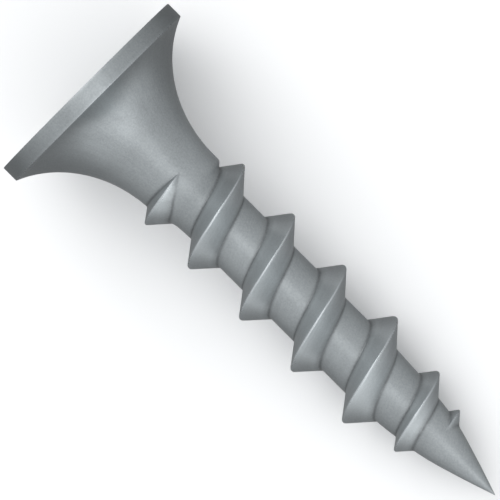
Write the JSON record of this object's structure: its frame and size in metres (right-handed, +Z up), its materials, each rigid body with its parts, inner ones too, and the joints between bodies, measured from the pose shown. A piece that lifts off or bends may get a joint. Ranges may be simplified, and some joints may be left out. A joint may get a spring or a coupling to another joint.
{
  "type": "drywall screw",
  "caption": "Self-tapping drywall screw with a bugle head, a cross recess, a coarse right-hand thread and a sharp point.",
  "frame": {"origin": "on the surface that the lying screw rests on, below the middle of its box", "axes": "+X along the lying screw from the head to the point, +Y across it, +Z up; the screw's own axis slopes down by 8.8 degrees from the head to the point"},
  "size_m": [0.0204, 0.008, 0.008],
  "materials": {
    "phosphated_steel": "satin dark grey, phosphate-coated and oiled"
  },
  "bodies": {
    "root": {"drywall_screw": "phosphated_steel"}
  },
  "joints": []
}
